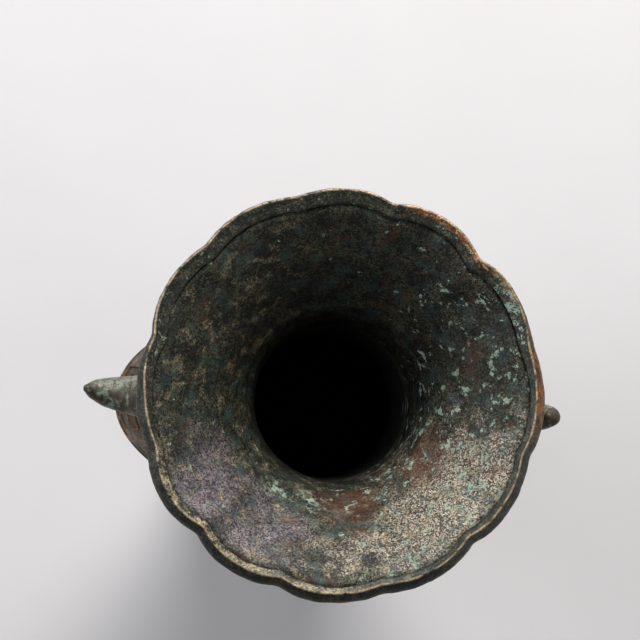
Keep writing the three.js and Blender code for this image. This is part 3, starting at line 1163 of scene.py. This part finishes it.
@dataclass
class RimBand:
    """The rolled band soldered round the mouth's edge.

    Its section's points are the distance in from the outline and the drop below the crest. In the picture's
    lower half the band has a broad outer bevel. In the upper half the crest lies close to the outline and the
    inner face is broad. Angles are in degrees.
    """

    columns: int = 600
    bevelled: tuple[tuple[float, float], ...] = (
        (3.3, 4.4), (2.0, 5.9), (0.5, 5.5), (0.0, 4.0), (0.9, 2.1), (2.3, 0.7), (3.4, 0.0), (4.4, 0.5),
        (5.5, 1.9),
    )
    broad: tuple[tuple[float, float], ...] = (
        (3.3, 4.4), (2.2, 5.4), (0.9, 4.7), (0.15, 3.1), (0.0, 1.7), (0.12, 0.6), (0.6, 0.0), (2.8, 0.8),
        (5.5, 1.9),
    )
    crest_knot: int = 6
    outer_knot: int = 4
    steps: int = 4
    broad_middle: float = 97
    broad_within: float = 55
    broad_fade: float = 42
    bevel_mark: float = -2.5

    def share_broad(self, angles: np.ndarray) -> np.ndarray:
        """Says how far the section is the broad-faced one, which fades smoothly on both sides of its middle.

        Args:
            angles: Angles in radians.

        Returns:
            The share at each angle.
        """
        from_middle = np.abs((np.degrees(angles) - self.broad_middle + 180) % 360 - 180)
        t = np.clip((from_middle - self.broad_within) / self.broad_fade, 0, 1)
        return 1 - t * t * (3 - 2 * t)

    def build(self, finish: bpy.types.Material) -> bpy.types.Object:
        """Carries the section round the lobed outline, with small dents from use.

        Args:
            finish: Its material.

        Returns:
            The piece.
        """
        angles = once_round(self.columns)
        low, high = (smooth_line(section, self.steps, closed=True) for section in (self.bevelled, self.broad))
        share = self.share_broad(angles)[None, :, None]
        line = low[:, None] * (1 - share) + high[:, None] * share
        radius = RIM.radius(angles)[None] - line[..., 0]
        z = SIZES.height - line[..., 1]
        rings = np.stack([radius * np.cos(angles), radius * np.sin(angles), z], axis=-1)
        crest = line[self.crest_knot * self.steps, :, 0]
        across = line[..., 0] - crest[None]
        under = np.arange(len(line))[:, None] < self.outer_knot * self.steps
        shell = Shell.tyre(rings)
        shell.marks["across"] = np.where(under, self.bevel_mark, across).reshape(-1)
        shell = roughened(shell, (0.16, 16, 11), (0.10, 5, 12), (0.05, 2.2, 13))
        return dressed("rolled_rim_band", shell, finish, "bronze_rim", "rim_band")


@dataclass
class Belly:
    """The flattened oval belly with its cast relief."""

    columns: int = 440
    knots: tuple[tuple[float, float, float], ...] = (
        (34.6, 34.6, 222), (42, 35.2, 214), (62, 37.6, 197), (75, 40.6, 179), (79, 41.5, 160),
        (75, 40.4, 137), (61, 36.6, 109), (46, 32.6, 84), (40, 30.6, 64.35),
    )
    widest: int = 4
    thickest: float = 2.2
    bands: tuple[tuple[float, float], ...] = ((168, 184), (128, 140))
    border_gap: float = 3.2
    spiral: tuple[tuple[float, float], ...] = (
        (0, 0), (1, 0), (1, 1), (0.18, 1), (0.18, 0.3), (0.72, 0.3), (0.72, 0.7), (0.45, 0.7),
    )
    spiral_width: float = 0.82
    spiral_pitch: float = 1.12

    def outer(self) -> np.ndarray:
        """Half-width, half-depth and height down the outer wall."""
        return smooth_line(self.knots, 14)

    def surface(self, u: np.ndarray, v: np.ndarray) -> np.ndarray:
        """Finds points on the outer wall.

        Args:
            u: The way round the widest oval, in millimetres.
            v: The height.

        Returns:
            The points.
        """
        line = self.outer()[::-1]
        a = np.interp(v, line[:, 2], line[:, 0])
        b = np.interp(v, line[:, 2], line[:, 1])
        turn, way = self.way_round()
        angle = np.interp(u % way[-1], way, turn)
        return np.stack([a * np.cos(angle), b * np.sin(angle), v], axis=-1)

    def way_round(self) -> tuple[np.ndarray, np.ndarray]:
        """Measures the widest oval.

        Returns:
            Angles once round, and how far round the oval each one is, in millimetres.
        """
        turn = np.linspace(0, 2 * np.pi, 721)
        a, b, _ = self.knots[self.widest]
        steps = np.hypot(np.diff(a * np.cos(turn)), np.diff(b * np.sin(turn)))
        return turn, np.concatenate([[0], np.cumsum(steps)])

    def build(self, finish: bpy.types.Material, shade_black: bpy.types.Material) -> bpy.types.Object:
        """Makes the wall: the outside, the collar, the hollow and the stem, painted near black inside as
        shade.

        The hollow lies a wall's thickness inside the outside, measured square to the wall's slope.

        Args:
            finish: The material outside.
            shade_black: The material inside, near black as painted shade.

        Returns:
            The piece.
        """
        s = SIZES
        outside = self.outer()[::-1]
        bore = s.spigot_radius + s.seam
        collar = np.array([(bore, bore, s.neck_foot), (bore, bore, s.neck_foot - s.spigot - 1)])
        rise = np.gradient(outside[:, 2])
        slope = np.gradient(outside[:, :2], axis=0) / rise[:, None]
        thick = s.wall * np.minimum(self.thickest, np.hypot(1, slope))
        hollow = np.column_stack([outside[:, :2] - thick, outside[:, 2]])[::-1]
        hollow = hollow[(hollow[:, 2] < s.neck_foot - s.spigot - 4) & (hollow[:, 2] > s.belly_foot + 4)]
        a, b = s.stem
        low = s.plate_top + s.seam
        stem = np.array([
            (a - s.stem_wall, b - s.stem_wall, s.belly_foot), (a - s.stem_wall, b - s.stem_wall, low),
            (a, b, low), (a, b, s.belly_foot + s.seam),
        ])
        line = np.concatenate([outside, collar, hollow, stem])
        shell = Shell.tyre(oval_rings(line, once_round(self.columns)))
        shell = roughened(shell, (0.25, 26, 21), (0.10, 9, 22))
        hidden = np.repeat(np.arange(len(line)) >= len(outside), self.columns)
        return dressed("flattened_belly", shell, finish, "bronze_outside", "belly", inner=(shade_black, hidden))

    def relief(self, finish: bpy.types.Material) -> bpy.types.Object:
        """Casts two bands of squared spirals between plain lines, above and below the widest part.

        Every second spiral faces the other way.

        Args:
            finish: Its material.

        Returns:
            The piece.
        """
        girth = float(self.way_round()[1][-1])
        lines: list[np.ndarray] = []
        for low, high in self.bands:
            for level in (low - self.border_gap, high + self.border_gap):
                around = np.linspace(0, girth, 361)[:-1]
                lines.append(np.column_stack([around, np.full(len(around), level)]))
            size = high - low
            count = round(girth / size / self.spiral_pitch)
            pitch = girth / count
            for k in range(count):
                flip, start = (1, 0.1) if k % 2 == 0 else (-1, 0.9)
                cell = np.array(self.spiral) * (flip * size * self.spiral_width, size)
                lines.append(densely(cell + ((k + start) * pitch, low), 2.4))
        return dressed("belly_relief", Ribbon().along(lines, self.surface), finish, "bronze_outside")


@dataclass
class Foot:
    """The lobed oval foot, which spreads from a moulded waist."""

    columns: int = 384
    lobes: int = 12
    crown_circle: float = 70
    lobe_arc: float = 36
    ledge: float = 2.6
    spread_low: float = 11
    lobe_fade: float = 34

    def spread(self) -> np.ndarray:
        """Draws the outside from the waist to the edge, as one cubic Bezier curve.

        Returns:
            Half-width, half-depth, height and share of lobing for each point, from the top down.
        """
        a, b = SIZES.foot_half
        ends = ((40.4, 31, 56), (40, 30.6, 34), (48, 36.6, 22), (a - 2, b - 2, self.spread_low))
        start, low, far, end = (np.array(point, float) for point in ends)
        t = np.linspace(0, 1, 22)[:, None]
        curve = start * (1 - t) ** 3 + 3 * low * (1 - t) ** 2 * t + 3 * far * (1 - t) * t**2 + end * t**3
        share = np.clip(1 - (curve[:, 2:3] - self.spread_low) / self.lobe_fade, 0, 1)
        return np.column_stack([curve, share])

    def line(self) -> np.ndarray:
        """Draws the closed wall.

        Returns:
            Half-width, half-depth, height and share of lobing for each point.
        """
        s = SIZES
        a, b = s.foot_half
        edge = [
            (a - 0.6, b - 0.6, 0, 1), (a, b, 0.8, 1), (a, b, 5, 1), (a, b, 8.6, 1),
            (a - 0.4, b - 0.4, 9.8, 1),
        ]
        knots = [(41.4, 32, 56.6), (42.6, 33.2, 57.2), (43.3, 33.9, 59), (42.6, 33.2, 61), (40.6, 31.2, 62)]
        waist = smooth_line(knots, 4)
        outside = np.concatenate([
            edge,
            self.spread()[::-1],
            np.column_stack([waist, np.zeros(len(waist))]),
            [(40, 30.6, s.belly_foot, 0)],
        ])
        socket_a, socket_b = s.stem[0] + s.seam, s.stem[1] + s.seam
        ledge_a, ledge_b = socket_a - self.ledge, socket_b - self.ledge
        rim_a, rim_b = a - s.foot_rim, b - s.foot_rim
        seat = s.plate_top - s.plate_thickness - s.seam
        inside = np.array([
            (socket_a, socket_b, s.belly_foot, 0), (socket_a, socket_b, seat, 0), (ledge_a, ledge_b, seat, 0),
            (ledge_a, ledge_b, 44, 0), (socket_a, socket_b, 41, 0), (38.5, 29, 32, 0.2), (41, 31, 24, 0.5),
            (rim_a, rim_b, 9, 1), (rim_a, rim_b, 0.6, 1), (rim_a + 0.6, rim_b + 0.6, 0, 1),
        ])
        return np.concatenate([outside, inside])

    def build(self, finish: bpy.types.Material) -> bpy.types.Object:
        """Makes the mesh. Its lobes are equal arcs, as in the frame.

        Args:
            finish: Its material.

        Returns:
            The piece.
        """
        angles = once_round(self.columns)
        pitch = 2 * np.pi / self.lobes
        from_crown = angles - np.round(angles / pitch) * pitch
        centre = self.crown_circle - self.lobe_arc
        arc = np.sqrt(self.lobe_arc**2 - (centre * np.sin(from_crown)) ** 2)
        inset = self.crown_circle - centre * np.cos(from_crown) - arc
        shell = Shell.tyre(oval_rings(self.line(), angles, inset))
        rest = shell.points[:, 2] < 1
        shell = roughened(shell, (0.2, 22, 31), (0.08, 7, 32))
        shell.points[rest, 2] = np.maximum(shell.points[rest, 2], 0)
        return dressed("lobed_foot", shell, finish, "bronze_outside", "foot")


@dataclass
class BasePlate:
    """The plate that closes the bottom, seated on the foot's ledge."""

    columns: int = 160

    def build(self, finish: bpy.types.Material, shade_black: bpy.types.Material) -> bpy.types.Object:
        """Makes a thin oval plate with a rounded edge, painted near black on top as shade.

        Args:
            finish: The material below and on the edge.
            shade_black: The material on top, near black as painted shade.

        Returns:
            The piece.
        """
        a, b = SIZES.stem
        high = SIZES.plate_top
        low = high - SIZES.plate_thickness
        shares = np.linspace(0.04, 0.985, 24)
        under = [(a * k, b * k, low) for k in shares]
        edge = [
            (a - 0.1, b - 0.1, low + 0.2), (a, b, low + 0.6),
            (a, b, high - 0.6), (a - 0.1, b - 0.1, high - 0.2),
        ]
        over = [(a * k, b * k, high) for k in shares[::-1]]
        rings = oval_rings(np.array(under + edge + over), once_round(self.columns))
        shell = roughened(Shell.limb(rings), (0.08, 14, 41))
        on_top = shell.points[shell.quads].mean(axis=1)[:, 2] > low + SIZES.plate_thickness / 2
        return dressed("bottom_plate", shell, finish, "bronze_outside", "base_plate", inner=(shade_black, on_top))


@dataclass
class ElephantLug:
    """A lug cast as an elephant's head, whose trunk sweeps out and up.

    It is made on the +X side and turned to its own. The lean is how far the trunk's tip lies to one side, and
    the sink how far its middle does, both along Y before that turn.
    """

    side: Side
    reach: float
    lean: float
    sink: float
    seed: int
    voxel: float = 0.62
    seat: float = 30.4
    trunk_radii: tuple[float, ...] = (11.4, 10.6, 8.9, 7.4, 5.9, 4, 1.7)
    tip_length: float = 1.2
    crease_gap: float = 3.4
    crease_depth: float = 0.055
    ear_ribs: int = 11
    ear_sweep: float = 24

    def trunk(self) -> Shell:
        """Sweeps the trunk along its curve, with creases across it that fade towards the tip.

        The creases lie crease_gap apart along it, where a sine is zero.

        Returns:
            The closed trunk.
        """
        low, lean = self.sink, self.lean
        knots = [
            (40, 0, 259), (52, 0.5 * low, 257), (63, low, 249), (72, 0.85 * low + 0.15 * lean, 243),
            (80, 0.5 * (low + lean), 243), (85.5, 0.15 * low + 0.85 * lean, 246.5),
            (self.reach - self.tip_length, lean, 250),
        ]
        path = smooth_line(knots, 24)
        share = np.linspace(0, 1, len(path))
        radii = np.interp(share, np.linspace(0, 1, len(self.trunk_radii)), self.trunk_radii)
        length = np.concatenate([[0], np.cumsum(np.linalg.norm(np.diff(path, axis=0), axis=1))])
        crease = np.abs(np.sin(length * np.pi / self.crease_gap)) ** 0.35
        radii = radii * (1 - self.crease_depth * (1 - crease) * np.clip(1.15 - share, 0, 1))
        path, radii = round_ended(path, radii)
        return Shell.limb(limb_rings(path, radii, 56))

    def ear(self) -> Shell:
        """Makes one fan-shaped ear, ribbed from its root to its scalloped edge.

        It is drawn flat round its root, made thick, curled by the square of the distance from the root, and
        swept back along the neck.

        Returns:
            The closed ear, on the +Y side.
        """
        knots = [
            (-2, -9), (5, -14.5), (12, -12.5), (15.6, -5), (17.2, 2), (15.5, 9), (10, 12.4), (4, 13.6),
            (-1.5, 10),
        ]
        centre = np.array([1.0, 0.0])
        out = smooth_line(knots, 14, closed=True) - centre
        ripple = np.cos(np.arctan2(out[:, 1], out[:, 0]) * self.ear_ribs)
        scallop = 1 + 0.035 * ripple
        shares = np.concatenate([np.linspace(0.05, 1, 18), np.linspace(1, 0.05, 18)])
        face = np.concatenate([np.ones(18), -np.ones(18)])
        flat = centre + shares[:, None, None] * (out * scallop[:, None])[None]
        rib = 0.45 * ripple[None] * shares[:, None]
        thick = face[:, None] * (0.5 + 1.1 * (1 - shares[:, None] ** 4) + rib * (face[:, None] > 0))
        curl = 0.012 * (flat[..., 0] ** 2 + flat[..., 1] ** 2)
        local = np.stack([thick + curl, flat[..., 0], flat[..., 1]], axis=-1)
        back = math.radians(self.ear_sweep)
        x = local[..., 0] * math.cos(back) - local[..., 1] * math.sin(back) + 41
        y = local[..., 0] * math.sin(back) + local[..., 1] * math.cos(back) + 9
        return Shell.limb(np.stack([x, y, local[..., 2] + 257], axis=-1))

    def tusk(self) -> Shell:
        """Sweeps one short tusk out and up."""
        path = smooth_line([(47, 8.2, 250), (55, 10.6, 246.4), (62, 11.8, 247.2), (66.5, 11.6, 250.4)], 12)
        radii = np.interp(np.linspace(0, 1, len(path)), (0, 0.33, 0.67, 1), (2.9, 2.4, 1.8, 0.8))
        return Shell.limb(limb_rings(*round_ended(path, radii), 28))

    def eye(self) -> list[Shell]:
        """Sets an eye between two lids, which are bowed as a parabola.

        Returns:
            The eye and its lids.
        """
        ball_centre = np.array([52.0, 8.6, 260.6])
        shells = [ball(ball_centre, (2.3, 1.9, 1.7))]
        for lift, reach in ((1.9, 1.0), (-1.7, 0.8)):
            across = np.linspace(-1, 1, 15)[:, None]
            bow = np.concatenate([across * 3.3, 0.5 + 0 * across, lift * (1 - across**2)], axis=1)
            shells.append(Shell.limb(limb_rings(ball_centre + bow, np.full(15, 0.75 * reach), 16)))
        return shells

    def backing(self) -> Shell:
        """Makes the oval pad that seats on the neck."""
        shape = [(28, 1.0), (37.5, 1.0), (39.6, 0.95), (40.4, 0.82), (40.6, 0.4)]
        return Shell.limb(cross_rings(shape, (17.2, 12.9), 255, 72))

    def shell(self) -> Shell:
        """Melts the parts together and pushes them out of the neck's wall.

        Returns:
            The lug's skin.
        """
        skull = ball((42, 0, 259), (14.5, 12.6, 14.5))
        jaw = ball((47, 0, 243.5), (11, 5.4, 5.4))
        brow = ball((45, 5.2, 267), (9, 6.2, 7.6))
        cheek = ball((46, 8.6, 252.5), (8, 4.6, 6))
        parts = [self.trunk(), self.backing(), skull, jaw]
        paired = [self.ear(), self.tusk(), brow, cheek, *self.eye()]
        parts += paired + [p.mirrored() for p in paired]
        skin = melted("lug_draft", joined(parts), self.voxel, 3)
        out = np.hypot(skin.points[:, 0], skin.points[:, 1])
        push = np.maximum(1, self.seat / np.maximum(out, 1e-6))
        skin.points[:, 0] *= push
        skin.points[:, 1] *= push
        skin = roughened(skin, (0.14, 9, self.seed), (0.07, 3.4, self.seed + 1))
        return skin

    def build(self, finish: bpy.types.Material) -> bpy.types.Object:
        """Makes the mesh, turned half round for the left side.

        Args:
            finish: Its material.

        Returns:
            The piece.
        """
        skin = self.shell()
        skin.points[:, :2] *= self.side.value
        name = self.side.name.lower()
        return dressed(f"{name}_elephant_lug", skin, finish, "bronze_lugs", f"{name}_lug")


@dataclass
class LugPins:
    """The rivets that hold the lugs: headed in the bore, with their shanks in the lugs."""

    levels: tuple[tuple[str, float], ...] = (("upper", 263), ("lower", 247))
    section: tuple[tuple[float, float], ...] = (
        (0.25, 1.6), (0.02, 2.9), (0.1, 3.6), (0.4, 3.7), (1.7, 2.2), (9.4, 2.2), (9.9, 1.7),
    )

    def build(self, side: Side, finish: bpy.types.Material) -> list[bpy.types.Object]:
        """Makes the two rivets of one side.

        Args:
            side: Which lug they hold.
            finish: Their material.

        Returns:
            The rivets.
        """
        face = SIZES.neck_radius - SIZES.wall + 0.4
        line = [(face + x, radius) for x, radius in self.section]
        name = side.name.lower()
        made = []
        for place, level in self.levels:
            shell = Shell.limb(cross_rings(line, (1, 1), level, 40))
            shell.points[:, :2] *= side.value
            node = f"{name}_lug_{place}_pin"
            made.append(dressed(f"{name}_{place}_rivet", shell, finish, "bronze_lugs", node))
        return made


def dressed(name: str, shell: Shell, finish: bpy.types.Material, slot: str, *nodes: str,
            inner: Optional[tuple[bpy.types.Material, np.ndarray]] = None) -> bpy.types.Object:
    """Makes a piece, gives it its finish, hangs it on the root body and hides the frame nodes that it
    replaces.

    Args:
        name: The piece's name.
        shell: Its surface.
        finish: Its material.
        slot: The record's material slot; not used.
        nodes: The frame nodes that it replaces.
        inner: A second material, and for each face whether it has that one.

    Returns:
        The piece.
    """
    piece = mesh_object(name, shell)
    piece.data.materials.append(finish)
    if inner:
        piece.data.materials.append(inner[0])
        piece.data.polygons.foreach_set("material_index", inner[1].astype(np.int32))
    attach(piece, "root")
    if nodes:
        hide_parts(*nodes)
    log.info("%s: %d faces", name, len(piece.data.polygons))
    return piece


# Studio


@dataclass(frozen=True)
class Viewpoint:
    """The camera, set by where the vase lies in the photograph's 640-pixel frame.

    The focal length in pixels is also the distance to the mouth in units of one pixel's size there.
    """

    frame_pixels: float = 640
    focal_pixels: float = 2500
    pixel_size: float = 0.3415
    mouth_at: tuple[float, float] = (342.5, 397.0)
    axis_drift: tuple[float, float] = (-0.072, 0.060)
    roll: float = 3.2

    def place(self) -> bpy.types.Object:
        """Makes the camera.

        The vase's axis, going down, points along (drift right, drift down, 1) in the camera's frame. The X
        axis is the picture's right turned down by the roll, in degrees, and made square to it. These two fix
        the turn, and the mouth's place in the picture fixes the position.

        Returns:
            The camera object, which is made the scene's camera.
        """
        down = np.array([*self.axis_drift, 1.0])
        z_axis = -down / np.linalg.norm(down)
        roll = math.radians(self.roll)
        x_axis = np.array([math.cos(roll), math.sin(roll), 0.0])
        x_axis -= z_axis * (x_axis @ z_axis)
        x_axis /= np.linalg.norm(x_axis)
        y_axis = np.cross(z_axis, x_axis)
        turn = np.stack([x_axis, y_axis, z_axis], axis=1)
        middle = self.frame_pixels / 2
        right, below = self.mouth_at[0] - middle, self.mouth_at[1] - middle
        offset = np.array([right, below, self.focal_pixels]) * self.pixel_size
        spot = np.array([0, 0, SIZES.height]) - turn.T @ offset
        data = bpy.data.cameras.new("camera")
        data.sensor_fit = "HORIZONTAL"
        data.angle = 2 * math.atan(middle / self.focal_pixels)
        data.clip_start = 0.01
        camera = bpy.data.objects.new("camera", data)
        matrix = np.eye(4)
        matrix[:3, 0] = turn[0]
        matrix[:3, 1] = -turn[1]
        matrix[:3, 2] = -turn[2]
        matrix[:3, 3] = spot * MM
        camera.matrix_world = matrix.T.tolist()
        bpy.context.scene.collection.objects.link(camera)
        bpy.context.scene.camera = camera
        return camera


@dataclass(frozen=True)
class Softbox:
    """A square lamp: where it hangs in metres, what it looks at, its width and its power in watts."""

    name: str
    at: tuple[float, float, float]
    towards: tuple[float, float, float]
    width: float
    power: float
    tint: Colour = (1.0, 1.0, 1.0)

    def hang(self) -> bpy.types.Object:
        """Makes the lamp, turned so that it faces what it looks at.

        Returns:
            The lamp.
        """
        data = bpy.data.lights.new(self.name, "AREA")
        data.size = self.width
        data.energy = self.power
        data.color = self.tint
        lamp = bpy.data.objects.new(self.name, data)
        back = np.array(self.at) - np.array(self.towards)
        back /= np.linalg.norm(back)
        side = np.cross([0.0, 1.0, 0.02], back)
        side /= np.linalg.norm(side)
        matrix = np.eye(4)
        matrix[:3, 0] = side
        matrix[:3, 1] = np.cross(back, side)
        matrix[:3, 2] = back
        matrix[:3, 3] = self.at
        lamp.matrix_world = matrix.T.tolist()
        bpy.context.scene.collection.objects.link(lamp)
        return lamp


@dataclass(frozen=True)
class Studio:
    """The pale floor, the world and the lamps."""

    floor_half: float = 4.0
    floor_colour: Colour = (0.60, 0.59, 0.60)
    world_colour: Colour = (0.80, 0.81, 0.84)
    world_strength: float = 0.20

    def build(self) -> None:
        """Makes everything round the vase."""
        bpy.context.scene.view_settings.view_transform = "Standard"
        half = self.floor_half
        mesh = bpy.data.meshes.new("floor")
        corners = [(-half, -half, 0), (half, -half, 0), (half, half, 0), (-half, half, 0)]
        mesh.from_pydata(corners, [], [(0, 1, 2, 3)])
        floor = bpy.data.objects.new("floor", mesh)
        g = Graph("pale_floor")
        colour = g.over(self.floor_colour, tuple(0.94 * c for c in self.floor_colour), g.noise(60, 3))
        mesh.materials.append(g.finish(colour, 0.8, 0.0, g.bump(g.noise(2, 3), 0.1, 0.3)))
        bpy.context.scene.collection.objects.link(floor)
        world = bpy.data.worlds.new("studio")
        world.use_nodes = True
        background = world.node_tree.nodes["Background"]
        background.inputs["Color"].default_value = (*self.world_colour, 1)
        background.inputs["Strength"].default_value = self.world_strength
        bpy.context.scene.world = world
        lamps = (
            Softbox("key", (0.12, 0.95, 0.95), (0, 0, 0.31), 0.55, 22, (1.0, 0.98, 0.95)),
            Softbox("fill", (-0.95, 0.2, 0.9), (0, 0, 0.2), 1.0, 9, (0.94, 0.96, 1.0)),
            Softbox("side", (1.1, -0.35, 0.6), (0, 0, 0.2), 0.9, 3, (1.0, 0.98, 0.95)),
        )
        for lamp in lamps:
            lamp.hang()


def main() -> None:
    """Builds the studio and then the vase, piece by piece."""
    logging.basicConfig(level=logging.INFO, format="%(name)s: %(message)s")
    Viewpoint().place()
    Studio().build()
    inside = InsidePatina().make()
    rim = RimBronze().make()
    outside = OutsideBronze(gilded=((-70, 22, 166, 8), (-76, -14, 160, 6))).make()
    raised = OutsideBronze("raised_bronze", rubbed_from=0.50, green_from=0.63).make()
    # The near-black painted shade for the belly's inside and the plate's top.
    shade_black = ShadeBlack().make()
    # The lugs' crusted places lie along the left trunk's upper edge: pale verdigris, partly a painted
    # highlight.
    lugs = OutsideBronze(
        "lug_bronze", dark=(0.022, 0.020, 0.014), brown=(0.085, 0.066, 0.042), verdigris=(0.20, 0.27, 0.22),
        rubbed_from=0.62, green_from=0.54, crusted=((-68, 6, 250, 9), (-76, 5, 247, 7), (-83, 3, 249, 5)),
    ).make()
    Mouth().build(inside)
    RimBand().build(rim)
    belly = Belly()
    belly.build(outside, shade_black)
    belly.relief(raised)
    Foot().build(outside)
    BasePlate().build(outside, shade_black)
    for side, reach, lean, sink in ((Side.RIGHT, 85.6, 0.0, 0.0), (Side.LEFT, 89.8, -0.4, 1.3)):
        ElephantLug(side, reach, lean, sink, seed=51 + 10 * side.value).build(lugs)
        LugPins().build(side, lugs)


if __name__ == "__main__":
    main()
